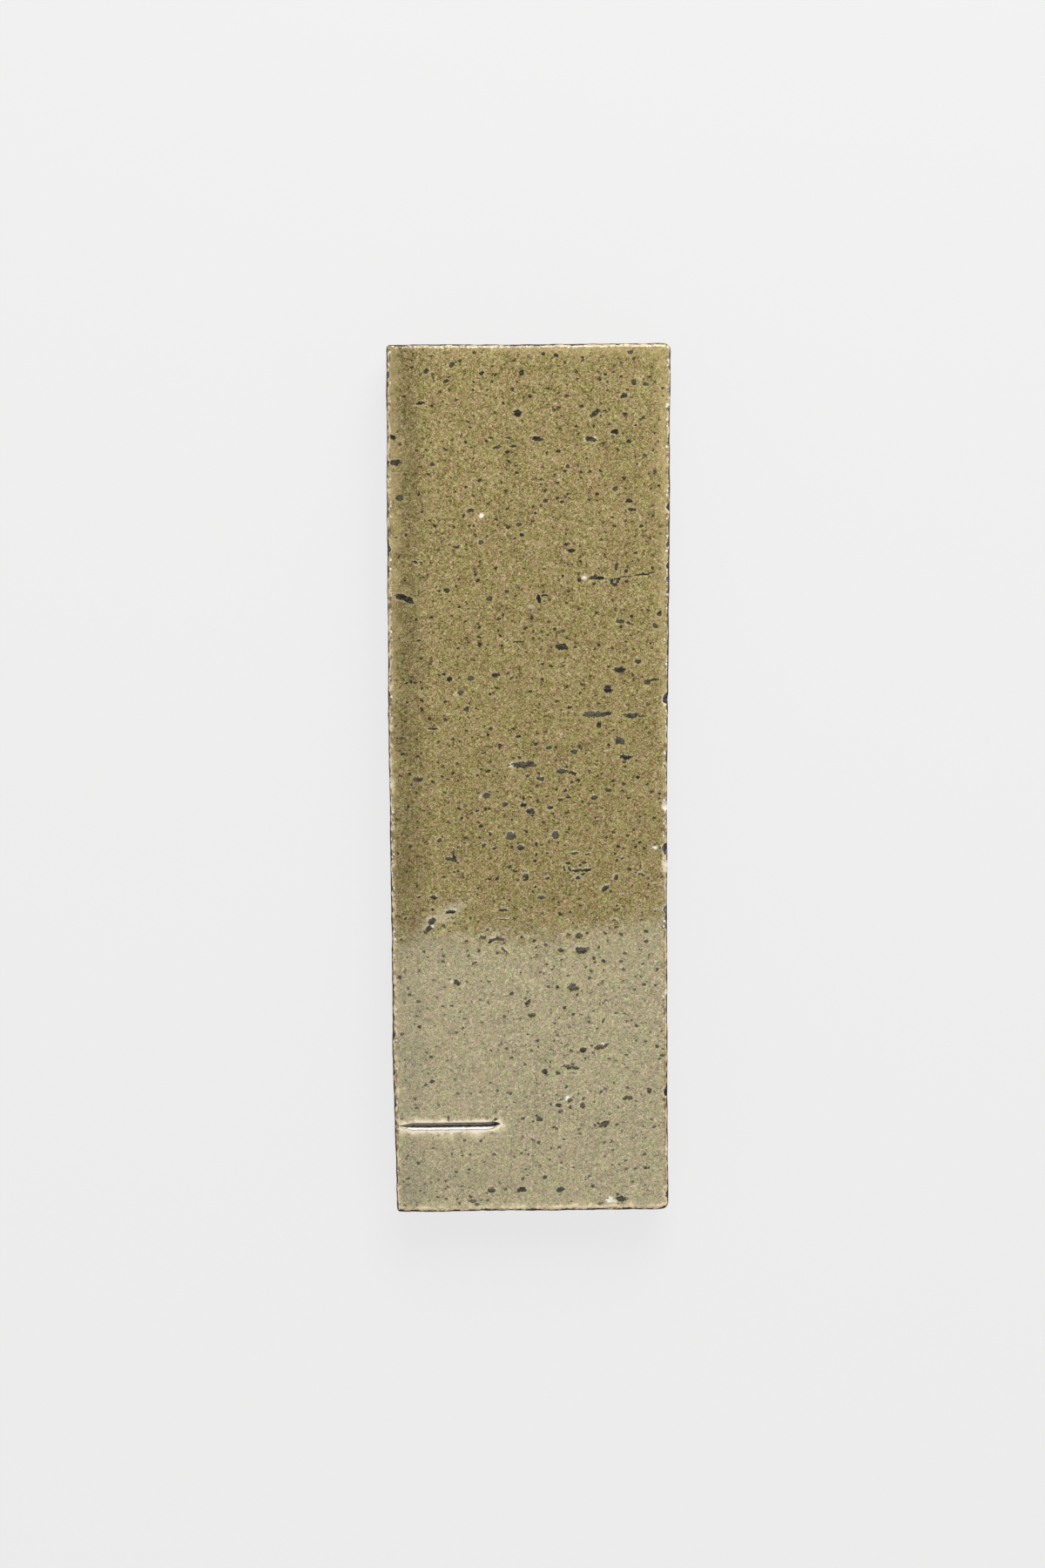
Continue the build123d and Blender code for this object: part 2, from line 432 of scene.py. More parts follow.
def chipBalls():
    # middle, radius and paleness of the ball that scoops out each chip
    for side, sign in (("left", -1), ("right", 1)):
        drop = slip["margins"][side][1]
        for fromHead, radius, bite, tone in chips[side]:
            off = (radius - bite) / math.sqrt(2)
            x, y = warpPlan(np.array(sign * halfWidth), np.array(halfLength - fromHead))
            yield np.array((x + sign * off, y, faceHeight - drop + off)), radius, tone


def scoopChips(points):
    # points inside a ball move out to its surface; each point learns how near and how pale a chip is
    nearest, paleness = np.full(len(points), farOff), np.zeros(len(points))
    for middle, radius, tone in chipBalls():
        away = points - middle
        distance = np.linalg.norm(away, axis=1)
        rough = radius * (1 + 0.15 * lumps(points[:, 0] + points[:, 2], points[:, 1], 0.9, 31))
        paleness = np.where(distance / rough < nearest, tone, paleness)
        nearest = np.minimum(nearest, distance / rough)
        inside = distance < rough
        points[inside] += away[inside] * (rough[inside] / distance[inside] - 1)[:, None]
    return points, nearest, paleness


# the slip's mesh: a fine grid on the face, rings down the sides, and a coarser back


def gridLines():
    # columns and rows of the face inside the arris; rows crowd together at the slit
    across = halfWidth - slip["arris"]
    along = halfLength - slip["arris"]
    columns = np.linspace(-across, across, round(2 * across / slip["pitch"]) + 1)
    parts = np.array(slit["rows"])
    parts = np.concatenate((-parts[:0:-1], parts))
    below = slitMiddle - slit["band"] * slitHalf
    above = slitMiddle + slit["band"] * slitHalf
    low = np.linspace(-along, below, round((below + along) / slip["pitch"]) + 1)
    high = np.linspace(above, along, round((along - above) / slip["pitch"]) + 1)
    x = np.broadcast_to(columns, (len(low) + len(parts) + len(high), len(columns)))
    rows = [np.broadcast_to(row, columns.shape) for row in low]
    rows += [bendRows(columns, part) for part in parts]
    rows += [np.broadcast_to(row, columns.shape) for row in high]
    return x, np.array(rows)


def rimOrder(rows, columns):
    # grid places round the edge of the face, anticlockwise from the foot's left corner
    foot = [(0, i) for i in range(columns - 1)]
    right = [(j, columns - 1) for j in range(rows - 1)]
    head = [(rows - 1, i) for i in range(columns - 1, 0, -1)]
    left = [(j, 0) for j in range(rows - 1, 0, -1)]
    return np.array(foot + right + head + left)


def rimAt(rimX, rimY, out):
    # the rim moved outwards; places near a corner move along with it
    onSide = np.isclose(np.abs(rimX), halfWidth - slip["arris"])
    onEnd = np.isclose(np.abs(rimY), halfLength - slip["arris"])
    nearEnd = np.maximum(1 - (halfLength - slip["arris"] - np.abs(rimY)) / slip["cornerReach"], 0) ** 2
    nearSide = np.maximum(1 - (halfWidth - slip["arris"] - np.abs(rimX)) / slip["cornerReach"], 0) ** 2
    moveX = np.where(onSide, out, np.minimum(out, slip["arris"]) * nearSide)
    moveY = np.where(onEnd, out, np.minimum(out, slip["arris"]) * nearEnd)
    return rimX + np.sign(rimX) * moveX, rimY + np.sign(rimY) * moveY


def ringsDown(rimX, rimY):
    # for each ring how far out it lies, its height, and how far from the face with the side laid flat
    arris, chamfer, top = slip["arris"], slip["backChamfer"], faceHeight
    inward = 0.1
    rimFall = crown(rimX, rimY)
    lean = np.arctan((rimFall - crown(*rimAt(rimX, rimY, -inward))) / inward)
    rolled = 1.5 * arris
    rings = []
    for k in range(1, slip["arrisSteps"] + 1):
        turn = lean + (math.pi / 2 - lean) * k / slip["arrisSteps"]
        out = arris * (np.sin(turn) - np.sin(lean)) / (1 - np.sin(lean))
        drop = arris * (np.cos(lean) - np.cos(turn)) / (1 - np.sin(lean))
        rings.append((out, top - rimFall - drop, rolled * k / slip["arrisSteps"]))
    bottom = rings[-1][1]
    for k in range(1, slip["sideSteps"] + 1):
        level = bottom + (chamfer - bottom) * k / slip["sideSteps"]
        rings.append((np.full(rimX.shape, arris), level, rolled + top * k / slip["sideSteps"]))
    backEdge = np.full(rimX.shape, arris - chamfer)
    rings.append((backEdge, np.zeros(rimX.shape), rolled + top + math.sqrt(2) * chamfer))
    return rings


def edgeFields(x, y, depth):
    # distance from the nearest edge in mm, and counted in widths of the bands along the edges
    upper = easeBetween(y, -30, 60)
    near = edgeDistances(x, y)
    widths = {
        # the pale margin widens towards the head, most of all at the head's right corner
        "margin": {
            "left": 1.3 + 1.7 * upper,
            "right": 0.8 + 2.2 * upper,
            "head": 2.2 + 1.6 * x / halfWidth,
            "foot": 2.6,
        },
        "rim": {"left": 1.2, "right": 0.7, "head": 0.4, "foot": 2.1},
        # widths of the dark outline, partly painted shade
        "line": {"left": 0.32, "right": 0.28, "head": 0.3, "foot": 0.56},
        "edge": dict.fromkeys(near, 1.0),
    }
    return {
        band: np.minimum.reduce([near[side] / wide[side] for side in near]) - depth
        for band, wide in widths.items()
    }


def slitFields(x, y, onFace):
    # distance from the slit's mouth, and the place across it in half-widths
    part = (y - slitLine(x)) / (slitHalf * slitShare(x))
    beside = (onFace > 0) & (x > slitLeft) & (x < slitTip)
    distance = fromSlit(x, y) * np.where(part < 0, 0.7, 1)
    return {
        "slit": np.where(onFace > 0, distance, farOff),
        "slitPart": np.where(beside, np.clip(part, -4, 4), 4),
    }


def slipFaces(rows, columns, order, ringCount):
    # quads of the face and of the rings, and the points of the last ring
    index = np.arange(rows * columns).reshape(rows, columns)
    corners = (index[:-1, :-1], index[:-1, 1:], index[1:, 1:], index[1:, :-1])
    quads = [np.stack(corners, axis=-1).reshape(-1, 4)]
    loop = index[tuple(order.T)]
    for k in range(ringCount):
        lower = rows * columns + k * len(order) + np.arange(len(order))
        quads.append(np.stack((loop, lower, np.roll(lower, -1), np.roll(loop, -1)), axis=-1))
        loop = lower
    return np.concatenate(quads), loop


def buildSlip():
    # points, places on the bake map, surface fields and faces of all but the back, and the back's rim
    faceX, faceY = gridLines()
    rows, columns = faceX.shape
    order = rimOrder(rows, columns)
    rimX, rimY = faceX[tuple(order.T)], faceY[tuple(order.T)]
    rings = ringsDown(rimX, rimY)

    # every point in the plain rectangle, its place with the sides laid flat, and its height
    plain = [(faceX.ravel(), faceY.ravel())]
    flat = [(faceX.ravel(), faceY.ravel())]
    height = [(faceHeight - crown(faceX, faceY)).ravel()]
    for out, level, unrolled in rings:
        plain.append(rimAt(rimX, rimY, out))
        flat.append(rimAt(rimX, rimY, np.full(rimX.shape, unrolled)))
        height.append(level)
    plainX, plainY = np.concatenate(plain, axis=1)
    sheet = np.concatenate(flat, axis=1).T
    height = np.concatenate(height)

    # relief of the face, which dies away over the arris
    onFace = np.zeros(len(height))
    onFace[: rows * columns] = 1
    wavy = sum(high * lumps(plainX, plainY, size, layer) for size, layer, high in slip["waves"])
    fleck, fleckTone, pit = nearestFleck(plainX, plainY)
    height = height + onFace * (wavy + slitRelief(plainX, plainY) - pit)
    depth = np.maximum(faceHeight - slip["glazeEnd"] - height, 0) * (1 - onFace)

    x, y = warpPlan(*waverEdges(*roundCorners(plainX, plainY)))
    points, chip, chipTone = scoopChips(np.stack((x, y, height), axis=1))
    points[-len(rimX):, 2] = 0

    # what the glaze has to know at each point
    fields = {
        **edgeFields(plainX, plainY, depth),
        **slitFields(plainX, plainY, onFace),
        "chip": chip,
        "chipTone": chipTone,
        "fleck": np.where(depth > 0, farOff, fleck),
        "fleckTone": fleckTone,
        # pale spots, partly painted glints and reflection
        "pale": onFace * strongestSpot(x, y, flecks["paleGlintAt"]),
        "smudge": onFace * strongestSpot(x, y, flecks["smudgeAt"]),
    }
    quads, loop = slipFaces(rows, columns, order, len(rings))
    return points, sheet, fields, quads, loop


def fillBack(ring):
    # triangles across the back, between its rim and a coarse grid of points inside it
    pitch = slip["backPitch"]
    reachX, reachY = halfWidth - pitch, halfLength - pitch
    inside = [
        (x, y)
        for x in np.linspace(-reachX, reachX, round(2 * reachX / pitch) + 1)
        for y in np.linspace(-reachY, reachY, round(2 * reachY / pitch) + 1)
    ]
    count = len(ring)
    spots = [Vector(p) for p in ring.tolist()] + [Vector(p) for p in inside]
    edges = [(k, (k + 1) % count) for k in range(count)]
    made = delaunay_2d_cdt(spots, edges, [], 1, 1e-6)
    came = [origin[0] for origin in made[3]]
    triangles = [tuple(came[v] for v in reversed(face)) for face in made[2]]
    return np.array(inside), triangles


def makeTile():
    points, sheet, fields, quads, loop = buildSlip()
    inside, triangles = fillBack(points[loop, :2])
    first = len(points)
    backPoints = np.column_stack((inside, np.zeros(len(inside))))
    points = np.concatenate((points, backPoints))
    for name in fields:  # the back lies far beyond the glaze and far from all that the face has
        onBack = -12.0 if name in ("margin", "rim", "line", "edge") else farOff
        fields[name] = np.append(fields[name], np.full(len(inside), onBack))
    backFaces = [
        tuple(int(loop[v]) if v < len(loop) else first + v - len(loop) for v in face) for face in triangles
    ]

    mesh = bpy.data.meshes.new("glazed_tile")
    mesh.from_pydata((points * millimetre).tolist(), [], quads.tolist() + backFaces)
    for name, values in fields.items():
        field = mesh.attributes.new(name, "FLOAT", "POINT")
        field.data.foreach_set("value", values.astype(np.float32))
    layBakeMap(mesh, sheet, points, len(quads))
    mesh.polygons.foreach_set("use_smooth", [True] * len(mesh.polygons))
    mesh.set_sharp_from_angle(angle=math.radians(50))
    tile = bpy.data.objects.new("glazed_tile", mesh)
    bpy.context.collection.objects.link(tile)
    triangleCount = 2 * len(quads) + len(backFaces)
    print("tile meshed:", len(points), "points,", triangleCount, "triangles")
    return tile


def layBakeMap(mesh, sheet, points, quadCount):
    # the face with its sides folded out, and the back beside them
    apron, gap = 17.0, 6.0
    span = slip["length"] + 2 * apron
    corners = np.zeros(len(mesh.loops), int)
    mesh.loops.foreach_get("vertex_index", corners)
    spread = np.zeros((len(corners), 2))
    onSheet = np.arange(len(corners)) < quadCount * 4
    faceMiddle = (halfWidth + apron, halfLength + apron)
    backMiddle = (2 * (slip["width"] + apron) + gap, halfLength + apron)
    spread[onSheet] = sheet[corners[onSheet]] + faceMiddle
    spread[~onSheet] = points[corners[~onSheet], :2] * (-1, 1) + backMiddle
    layer = mesh.uv_layers.new(name="OFBake")
    layer.data.foreach_set("uv", (spread / span).ravel())


tile = makeTile()

# shader writing: a wire is an output socket, and sums on wires add Math nodes


class Wire:
    def __init__(self, paint, socket):
        self.paint, self.socket = paint, socket

    def __add__(self, other):
        return self.paint.maths("ADD", self, other)

    def __radd__(self, other):
        return self.paint.maths("ADD", other, self)

    def __sub__(self, other):
        return self.paint.maths("SUBTRACT", self, other)

    def __rsub__(self, other):
        return self.paint.maths("SUBTRACT", other, self)

    def __mul__(self, other):
        return self.paint.maths("MULTIPLY", self, other)

    def __rmul__(self, other):
        return self.paint.maths("MULTIPLY", other, self)


class Paint:
    def __init__(self, tree):
        self.tree = tree
        tree.nodes.clear()

    def node(self, kind, settings=None, sockets=None, out=0):
        made = self.tree.nodes.new("ShaderNode" + kind)
        for name, value in (settings or {}).items():
            if name == "stops":
                self.setStops(made.color_ramp.elements, value)
            else:
                setattr(made, name, value)
        for name, value in (sockets or {}).items():
            if isinstance(value, Wire):
                self.tree.links.new(value.socket, made.inputs[name])
            else:
                made.inputs[name].default_value = value
        return Wire(self, made.outputs[out]) if made.outputs else None

    def setStops(self, elements, stops):
        elements[0].position, elements[0].color = stops[0]
        elements[-1].position, elements[-1].color = stops[-1]
        for position, tint in stops[1:-1]:
            elements.new(position).color = tint

    def maths(self, operation, first, second=0.0):
        return self.node("Math", {"operation": operation}, {0: first, 1: second})

    def vector(self, operation, first, second):
        return self.node("VectorMath", {"operation": operation}, {0: first, 1: second})

    def ease(self, value, low, high):
        # 0 at low, 1 at high, smooth between
        sockets = {"Value": value, "From Min": low, "From Max": high}
        return self.node("MapRange", {"interpolation_type": "SMOOTHSTEP"}, sockets)

    def blend(self, share, first, second, way="MIX"):
        settings = {"data_type": "RGBA", "blend_type": way}
        return self.node("Mix", settings, {0: share, 6: first, 7: second}, out=2)

    def noise(self, place, size, detail=2.0, rough=0.5, swirl=0.0):
        sockets = {"Vector": place, "Scale": 1 / size, "Detail": detail}
        return self.node("TexNoise", None, {**sockets, "Roughness": rough, "Distortion": swirl})

    def cells(self, place, size):
        # distance from the middle of a random cell, as a share of size, and two chances of that cell
        sockets = {"Vector": place, "Scale": 1 / size}
        distance = self.node("TexVoronoi", None, sockets, "Distance")
        chance = self.node("TexVoronoi", None, sockets, "Color")
        pick, grow = (self.node("SeparateColor", None, {0: chance}, out) for out in (0, 1))
        return distance, pick, grow

    def field(self, name):
        return self.node("Attribute", {"attribute_name": name}, out="Fac")


def colour(red, green, blue):
    # from screen values of 0 to 255
    def linear(value):
        value = value / 255
        return value / 12.92 if value <= 0.04045 else ((value + 0.055) / 1.055) ** 2.4

    return (linear(red), linear(green), linear(blue), 1.0)


# the glaze, with dark clay where it is broken and on the sides and back

glaze = {
    "mottle": (
        (0.0, colour(88, 74, 38)), (0.28, colour(128, 112, 68)), (0.5, colour(153, 137, 90)),
        (0.72, colour(174, 158, 109)), (1.0, colour(206, 191, 148)),
    ),
    "mossTint": (0.9, 1.0, 0.81, 1.0),
    "tanTint": (1.03, 0.935, 1.07, 1.0),
    "straw": colour(190, 175, 124),
    "speck": colour(30, 25, 13),
    "fleck": colour(20, 18, 11),
    "fleckLight": colour(78, 72, 60),
    "rim": colour(210, 190, 136),
    "rimLight": colour(240, 217, 176),
    # near white of the arris beads and of the pale spots' middles: painted glints
    "beadGlint": colour(246, 240, 226),
    "brown": colour(104, 70, 46),
    # pale glassy spots: partly painted glints and reflection
    "pale": colour(242, 234, 208),
    "smudge": colour(92, 70, 34),
    # darkest clay where the glaze ends: partly painted shade along the outline
    "edge": colour(66, 50, 40),
    "throat": colour(138, 129, 112),
    # darker inside the slit at the nib and in streaks: painted shade
    "throatShade": colour(70, 64, 56),
    "lip": colour(232, 212, 168),
    "mouth": colour(248, 236, 210),
    "scorch": colour(112, 84, 60),
    # near white of the slit's lower wall: a painted highlight
    "run": colour(253, 252, 250),
    "chip": colour(30, 27, 28),
    "chipLight": colour(112, 112, 122),
    "chipPale": colour(232, 224, 208),
    "clay": colour(104, 88, 75),
    "clayDark": colour(68, 57, 49),
    "grog": colour(146, 128, 108),
    "pore": colour(34, 28, 24),
    "leftMargin": 0.72,      # brightness of the darker left margin
    "roughness": 0.06,
    "clayRoughness": 0.7,
    "mottleShare": {"fibres": 1.9, "fine": 1.5, "blotches": 0.5, "clouds": 0.2},
    "specks": ((2.1, 0.44, 0.8), (1.7, 0.35, 0.75)),   # cell and largest radius in mm, share of cells used
    "grit": ((1.7, 0.45, "grog"), (0.9, 0.35, "grog"), (2.1, 0.3, "pore")),   # cell, share used, colour
    "beadCell": 0.95,
    "cover": {               # how far each coat hides what is under it
        "speck": 0.95, "margin": 0.35, "cream": 0.8, "lip": 0.6, "mouth": 0.8, "brown": 0.65, "beadGlint": 0.95,
        "halo": 0.35, "scorch": 0.75, "grit": 0.75, "chipRing": 0.8,
    },
    "relief": {              # heights in mm
        "peel": 0.0045, "fine": 0.0012, "beadGlint": 0.09, "arris": 0.12, "pit": 0.008, "clay": 0.12,
    },
}
cover = glaze["cover"]


def sharedPatterns(paint):
    # places in mm, and the noises about zero that several coats use
    on = SimpleNamespace()
    on.mm = paint.vector("MULTIPLY", paint.node("TexCoord", out="Object"), (1 / millimetre,) * 3)
    on.x, on.y = (paint.node("SeparateXYZ", None, {0: on.mm}, out=axis) for axis in "XY")
    on.shift = paint.vector("ADD", on.mm, (41.0, 17.0, 5.0))
    wander = paint.node("TexNoise", None, {"Vector": on.mm, "Scale": 1 / 0.7, "Detail": 1.0}, out="Color")
    wander = paint.vector("MULTIPLY", wander, (0.8, 0.8, 0.8))
    on.cells = paint.vector("ADD", paint.vector("MULTIPLY", on.mm, (0.8, 1.0, 1.0)), wander)
    on.fine = paint.noise(on.mm, 0.42, 1, 0.7, 1.0) - 0.5
    on.small = paint.noise(on.mm, 1.3, 2) - 0.5
    on.uneven = paint.noise(on.mm, 2.4, 3, 0.6) - 0.5
    on.streak = paint.noise(paint.vector("MULTIPLY", on.mm, (0.55, 1.7, 1.0)), 0.6, 1)
    on.edge = paint.field("edge")
    return on


def mottledBody(paint, on):
    # a fine mottle, tinted by drifts of moss and tan
    share = glaze["mottleShare"]
    fibres = [paint.maths("ABSOLUTE", paint.noise(at, 0.7, 0, 0.5, 1.6) - 0.5) for at in (on.mm, on.shift)]
    mottle = 0.5 + share["fibres"] * (fibres[0] - fibres[1]) + share["fine"] * on.fine
    mottle = mottle + share["blotches"] * (paint.noise(on.mm, 1.3, 2, 0.8) - 0.5)
    mottle = mottle + share["clouds"] * (paint.noise(on.mm, 6.0, 1) - 0.5)
    body = paint.node("ValToRGB", {"stops": glaze["mottle"]}, {0: mottle})
    drift = paint.ease(paint.noise(on.mm, 1.5, 3, 0.7), 0.34, 0.66)
    tint = paint.blend(drift, glaze["mossTint"], glaze["tanTint"])
    return paint.blend(1.0, body, tint, "MULTIPLY")


def addSpecks(paint, on, body):
    # small dark specks in the cells of two random patterns, some of them left empty
    specks = 0
    for size, largest, used in glaze["specks"]:
        distance, pick, grow = paint.cells(on.cells, size)
        strength = 0.75 + 0.25 * grow
        reach = largest * strength * paint.ease(pick, 1 - used, 1.02 - used)
        specks = specks + strength * paint.ease(reach - size * distance + 0.25 * on.fine, -0.01, 0.06)
    specks = paint.node("Clamp", None, {0: specks})
    return paint.blend(specks * cover["speck"], body, glaze["speck"]), specks


def darkenLeftMargin(paint, on, body):
    # patchy, and weaker towards the foot
    marginDarkening = paint.ease(on.x + 1.5 * on.small, -22.25, -27.75) * (0.5 + 0.5 * paint.ease(on.y, -50.0, 10.0))
    marginDarkening = marginDarkening * (0.55 + 0.6 * paint.ease(paint.noise(on.mm, 9.0, 2), 0.35, 0.6))
    dim = 1 - (1 - glaze["leftMargin"]) * marginDarkening
    shade = paint.node("CombineColor", None, {0: dim, 1: dim, 2: dim})
    return paint.blend(1.0, body, shade, "MULTIPLY")


def addSpots(paint, on, body):
    # brown smudges, pale glassy spots that are partly painted glints and reflection, and painted white
    # glints in the middle of the palest
    smudge = paint.field("smudge") * paint.ease(on.small + 0.5 * on.fine, -0.2, 0.1)
    body = paint.blend(smudge, body, glaze["smudge"])
    pale = paint.field("pale")
    body = paint.blend(pale * paint.ease(on.small + on.fine + 0.5 * pale, -0.15, 0.1), body, glaze["pale"])
    return paint.blend(paint.ease(pale + 0.4 * on.fine, 0.48, 0.6), body, glaze["beadGlint"])


def thinToCream(paint, on, body):
    # towards the arrises and the slit the glaze thins to cream
    slitPlace = paint.field("slit")
    margin = paint.ease(paint.field("margin") + 2.2 * on.uneven + 0.8 * on.small, 1.3, 0.3)
    cream = paint.ease(paint.field("rim") + 2.4 * on.uneven + 1.2 * on.fine, 0.8, 0.35)
    lip = paint.ease(slitPlace + 4.5 * on.uneven + 2.5 * on.fine, 1.7, 0.2)
    mouth = paint.ease(slitPlace + 2.0 * on.uneven + 1.5 * on.fine, 0.8, 0.15)
    body = paint.blend(margin * cover["margin"], body, glaze["rim"])
    body = paint.blend(cream * cover["cream"], body, glaze["rimLight"])
    body = paint.blend(lip * cover["lip"], body, glaze["lip"])
    return paint.blend(mouth * cover["mouth"], body, glaze["mouth"])


def beadGlintArrises(paint, on, body):
    # brown spots, and glassy beads along the arrises painted near white as glints: painted highlights on
    # small bumps
    distance, pick = paint.cells(on.mm, glaze["beadCell"])[:2]
    beadGlint = paint.ease(distance, 0.42, 0.25) * paint.ease(pick, 0.36, 0.41) * paint.ease(on.uneven, -0.1, 0.0)
    beadGlint = beadGlint * paint.ease(on.edge, 0.25, 0.4) * paint.ease(on.edge, 1.25, 0.85)
    brown = paint.ease(paint.noise(on.shift, 0.9, 2), 0.52, 0.6) * paint.ease(on.edge, 1.2, 0.7)
    body = paint.blend(brown * cover["brown"], body, glaze["brown"])
    return paint.blend(beadGlint * cover["beadGlint"], body, glaze["beadGlint"]), beadGlint


def addFlecks(paint, on, body):
    # dark flecks in a faint halo, some of them lighter inside
    place = paint.field("fleck") + 1.3 * on.fine + 1.0 * on.small
    tone = paint.field("fleckTone")
    fleck = paint.ease(place, 1.16, 0.92) * (1 - 0.1 * tone)
    inner = paint.ease(place, 0.85, 0.6) * paint.ease(on.streak + 0.2 * tone, 0.54, 0.7)
    body = paint.blend(paint.ease(place, 2.0, 1.1) * cover["halo"], body, glaze["straw"])
    return paint.blend(fleck, body, paint.blend(inner, glaze["fleck"], glaze["fleckLight"])), fleck


def paintSlit(paint, on, body):
    # dark inside, with painted shade at the nib and in streaks, a painted white highlight down the lower
    # wall and a scorched line below it
    throat = paint.ease(paint.field("slit") + 0.4 * on.fine, -0.02, -0.14)
    # painted shade deep in the slit, at the nib and in streaks
    nib = paint.ease(on.x + 0.6 * on.fine, -9.6, -8.4)
    shade = paint.maths("MAXIMUM", nib, paint.ease(on.streak, 0.5, 0.66))
    body = paint.blend(throat, body, paint.blend(shade, glaze["throat"], glaze["throatShade"]))
    place = paint.field("slitPart") + 0.2 * on.small + 0.3 * on.fine
    scorch = paint.ease(place, -1.3, -1.12) * paint.ease(place, -0.9, -1.0)
    # a painted white highlight along the slit's lower wall
    run = paint.ease(place, -0.98, -0.88) * paint.ease(place, -0.54, -0.64)
    run = run * paint.ease(on.x, -29.6, -28.6) * paint.ease(on.x, -8.6, -9.6)
    body = paint.blend(scorch * cover["scorch"], body, glaze["scorch"])
    return paint.blend(run, body, glaze["run"]), throat


def bareClay(paint, on):
    # fired clay with drag marks, grit and pores, darker where it meets the glaze: partly painted shade along
    # the outline
    drag = paint.vector("MULTIPLY", on.mm, (0.2, 0.2, 1.6))
    tone = 0.5 * paint.noise(on.mm, 0.8, 4, 0.7) + 0.35 * paint.noise(drag, 1.0, 3, 0.6)
    tone = tone + 0.15 * paint.noise(on.mm, 6.0, 2)
    clay = paint.blend(paint.ease(tone, 0.38, 0.62), glaze["clayDark"], glaze["clay"])
    for size, used, name in glaze["grit"]:
        distance, pick = paint.cells(on.cells, size)[:2]
        grit = paint.ease(distance + 0.2 * on.fine, 0.26, 0.18) * paint.ease(pick, 1 - used, 1.02 - used)
        clay = paint.blend(grit * cover["grit"], clay, glaze[name])
    return paint.blend(paint.ease(on.edge + 3 * on.uneven, -2.0, -0.4), clay, glaze["edge"])


def breakGlaze(paint, on, body):
    # the glaze ends in a dark line at the outline, partly bare clay and partly painted shade of the edge
    # turning away, and chips in a cream ring break it
    line = paint.ease(paint.field("line") + 3.5 * (paint.noise(on.mm, 1.5, 2) - 0.5), 1.25, 0.75)
    place = paint.field("chip") + 0.8 * on.small + 0.5 * on.fine
    chip = paint.ease(place, 0.98, 0.88)
    inner = paint.ease(place, 0.9, 0.7) * paint.ease(on.small, -0.15, 0.1)
    chipColour = paint.blend(inner, glaze["chip"], glaze["chipLight"])
    chipColour = paint.blend(paint.field("chipTone"), chipColour, glaze["chipPale"])
    body = paint.blend(paint.ease(place, 1.3, 1.0) * cover["chipRing"], body, glaze["rimLight"])
    body = paint.blend(line, body, bareClay(paint, on))
    return paint.blend(chip, body, chipColour), paint.maths("MAXIMUM", line, chip)


def makeGlaze():
    material = bpy.data.materials.new("glazedBrick")
    material.use_nodes = True
    paint = Paint(material.node_tree)
    on = sharedPatterns(paint)
    body, specks = addSpecks(paint, on, mottledBody(paint, on))
    body = addSpots(paint, on, darkenLeftMargin(paint, on, body))
    body, beadGlint = beadGlintArrises(paint, on, thinToCream(paint, on, body))
    body, fleck = addFlecks(paint, on, body)
    body, throat = paintSlit(paint, on, body)
    body, broken = breakGlaze(paint, on, body)

    # glassy where the glaze is whole, matt where it is pitted or broken
    bare = paint.maths("MAXIMUM", broken, 0.72 * paint.maths("MAXIMUM", fleck, specks))
    bare = paint.maths("MAXIMUM", bare, 0.8 * throat)
    high = glaze["relief"]
    relief = high["peel"] * paint.noise(on.mm, 1.6, 1) + high["fine"] * on.fine + high["beadGlint"] * beadGlint
    relief = relief + high["arris"] * paint.ease(on.edge, 1.6, 0.7) * on.small
    relief = relief - high["pit"] * (specks + fleck * (0.5 + on.fine))
    relief = relief + high["clay"] * broken * paint.noise(on.mm, 0.7, 4, 0.65)
    bump = paint.node("Bump", None, {"Height": relief, "Distance": millimetre})
    roughness = glaze["roughness"] + 0.06 * on.fine
    glassy = {"Base Color": body, "Roughness": roughness, "IOR": 1.5, "Normal": bump}
    matt = {
        "Base Color": body, "Roughness": glaze["clayRoughness"], "Specular IOR Level": 0.25, "Normal": bump,
    }
    shaders = [paint.node("BsdfPrincipled", None, sockets) for sockets in (glassy, matt)]
    mixed = paint.node("MixShader", None, {0: bare, 1: shaders[0], 2: shaders[1]})
    paint.node("OutputMaterial", None, {"Surface": mixed})
    return material


tile.data.materials.append(makeGlaze())
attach(tile, "root")
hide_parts("thin_brick_tile")
print("tile glazed")

# pale sheet under the tile

floorLook = {
    "size": 40.0,
    "level": -0.00005,       # just under the back, so the two don't share a plane
    "colour": (0.85, 0.85, 0.845, 1.0),
    "glow": (0.86, 0.86, 0.858, 1.0),
    "glowShare": 0.87,       # the rest is lit paper, which takes the tile's shadow
}


def makeFloor():
    half, level = floorLook["size"] / 2, floorLook["level"]
    corners = [(-half, -half, level), (half, -half, level), (half, half, level), (-half, half, level)]
    mesh = bpy.data.meshes.new("floor")
    mesh.from_pydata(corners, [], [(0, 1, 2, 3)])
    floor = bpy.data.objects.new("floor", mesh)
    bpy.context.collection.objects.link(floor)
    material = bpy.data.materials.new("paleSheet")
    material.use_nodes = True
    paint = Paint(material.node_tree)
    rays = [paint.node("LightPath", out=f"Is {kind} Ray") for kind in ("Camera", "Glossy", "Transmission")]
    seen = paint.node("Clamp", None, {0: rays[0] + rays[1] + rays[2]}) * floorLook["glowShare"]
    paper = paint.node("BsdfDiffuse", None, {"Color": floorLook["colour"]})
    glow = paint.node("Emission", None, {"Color": floorLook["glow"], "Strength": 1.0})
    mixed = paint.node("MixShader", None, {0: seen, 1: paper, 2: glow})
    paint.node("OutputMaterial", None, {"Surface": mixed})
    mesh.materials.append(material)


# studio light: a soft key from the head, an even surround, and a bright sheet above the foot
# whose reflection pales the lower third of the glaze

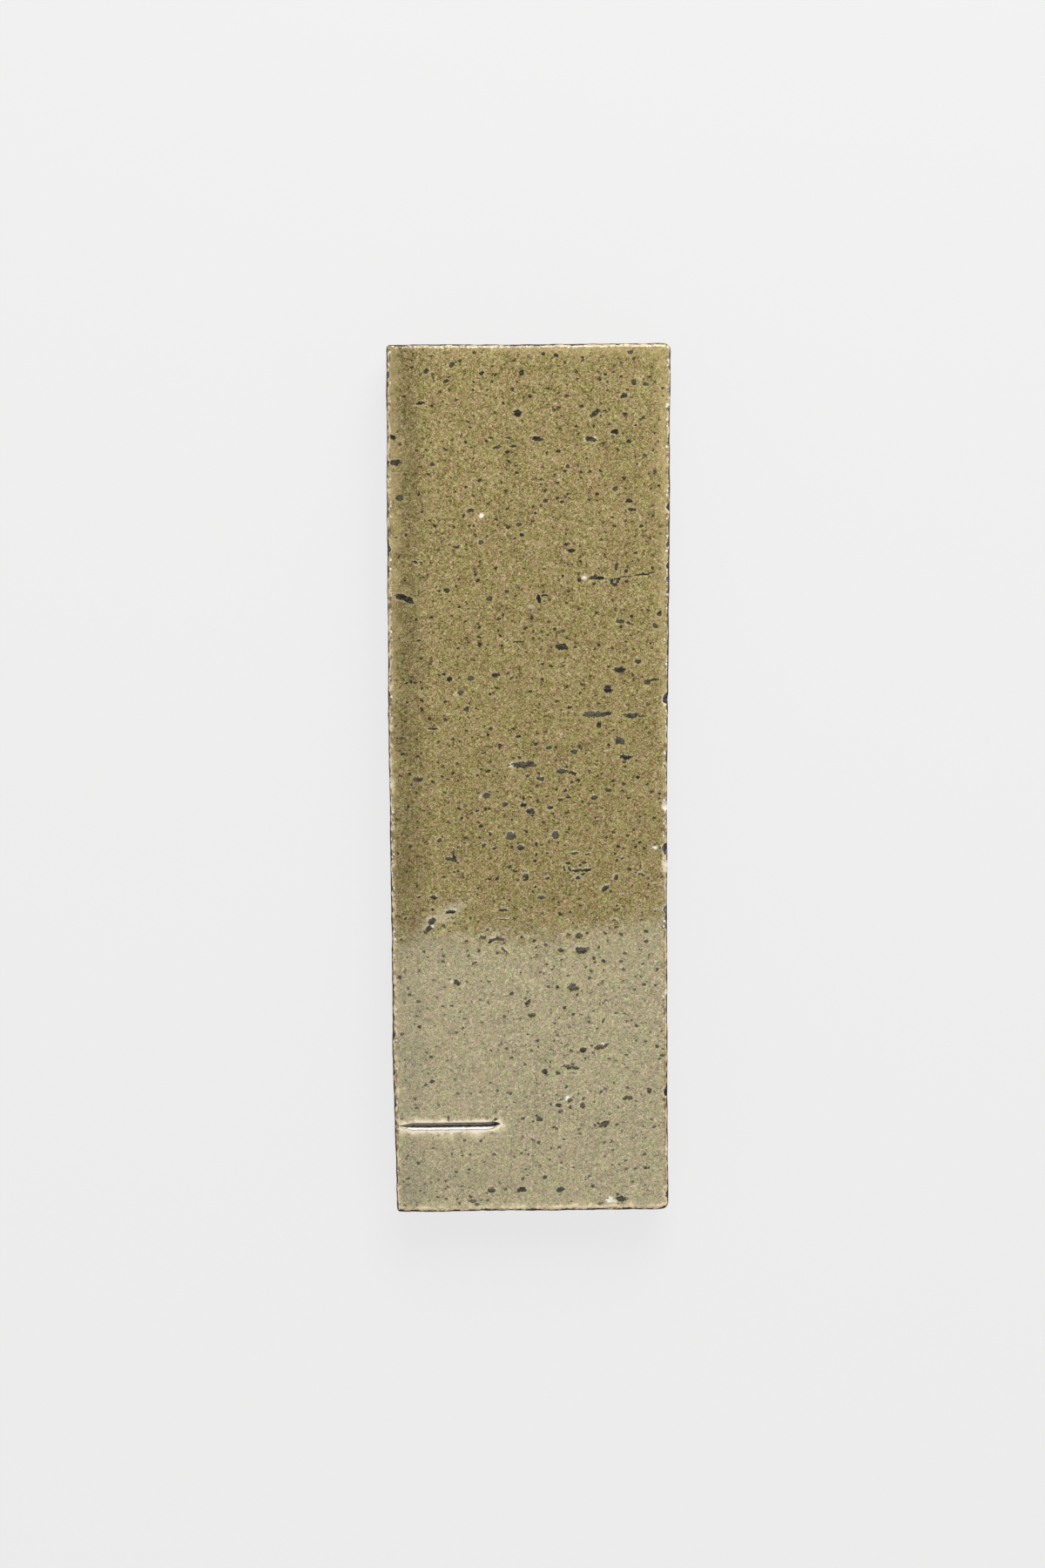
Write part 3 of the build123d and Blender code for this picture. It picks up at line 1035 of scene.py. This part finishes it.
lights = {
    "surround": {"overhead": 0.2, "horizon": 0.95, "backdrop": 0.8},   # the camera sees only the backdrop
    "key": {"place": (0.14, 0.72, 0.55), "size": 0.6, "power": 8.5},
    "glint": {"place": (0.15, 0.60, 0.50), "size": 0.28, "power": 2.5},   # seen only in reflections
    "sheet": {               # likewise
        "place": (0.0, -0.288, 0.62), "wide": 0.8, "tall": 0.3, "turn": 3.0,
        "power": 2.35, "colour": (0.95, 1.0, 0.94),
    },
}


def makeLamp(name, place, wide, tall, power):
    lamp = bpy.data.lights.new(name, "AREA")
    lamp.shape, lamp.size, lamp.size_y, lamp.energy = "RECTANGLE", wide, tall, power
    lit = bpy.data.objects.new(name, lamp)
    lit.location = place
    lit.rotation_euler = (-Vector(place)).to_track_quat("-Z", "Y").to_euler()
    bpy.context.collection.objects.link(lit)
    return lit


def makeLights():
    scene = bpy.context.scene
    scene.world = bpy.data.worlds.new("surround")
    scene.world.use_nodes = True
    paint = Paint(scene.world.node_tree)
    upward = paint.node("SeparateXYZ", None, {0: paint.node("TexCoord", out="Generated")}, out="Z")
    surround = lights["surround"]
    rise = surround["overhead"] - surround["horizon"]
    level = surround["horizon"] + rise * paint.node("Clamp", None, {0: upward})
    level = level + paint.node("LightPath", out="Is Camera Ray") * (surround["backdrop"] - level)
    glow = paint.node("Background", None, {"Color": (1, 1, 1, 1), "Strength": level})
    paint.node("OutputWorld", None, {"Surface": glow})
    key, glint, sheet = lights["key"], lights["glint"], lights["sheet"]
    makeLamp("key", key["place"], key["size"], key["size"], key["power"])
    glintLamp = makeLamp("glint", glint["place"], glint["size"], glint["size"], glint["power"])
    glintLamp.visible_diffuse = False
    sheetLamp = makeLamp("brightSheet", sheet["place"], sheet["wide"], sheet["tall"], sheet["power"])
    sheetLamp.rotation_euler = (0, 0, math.radians(sheet["turn"]))
    sheetLamp.data.color = sheet["colour"]
    sheetLamp.visible_diffuse = False
    scene.view_settings.view_transform = "Standard"


makeFloor()
makeLights()
print("floor and lights placed")
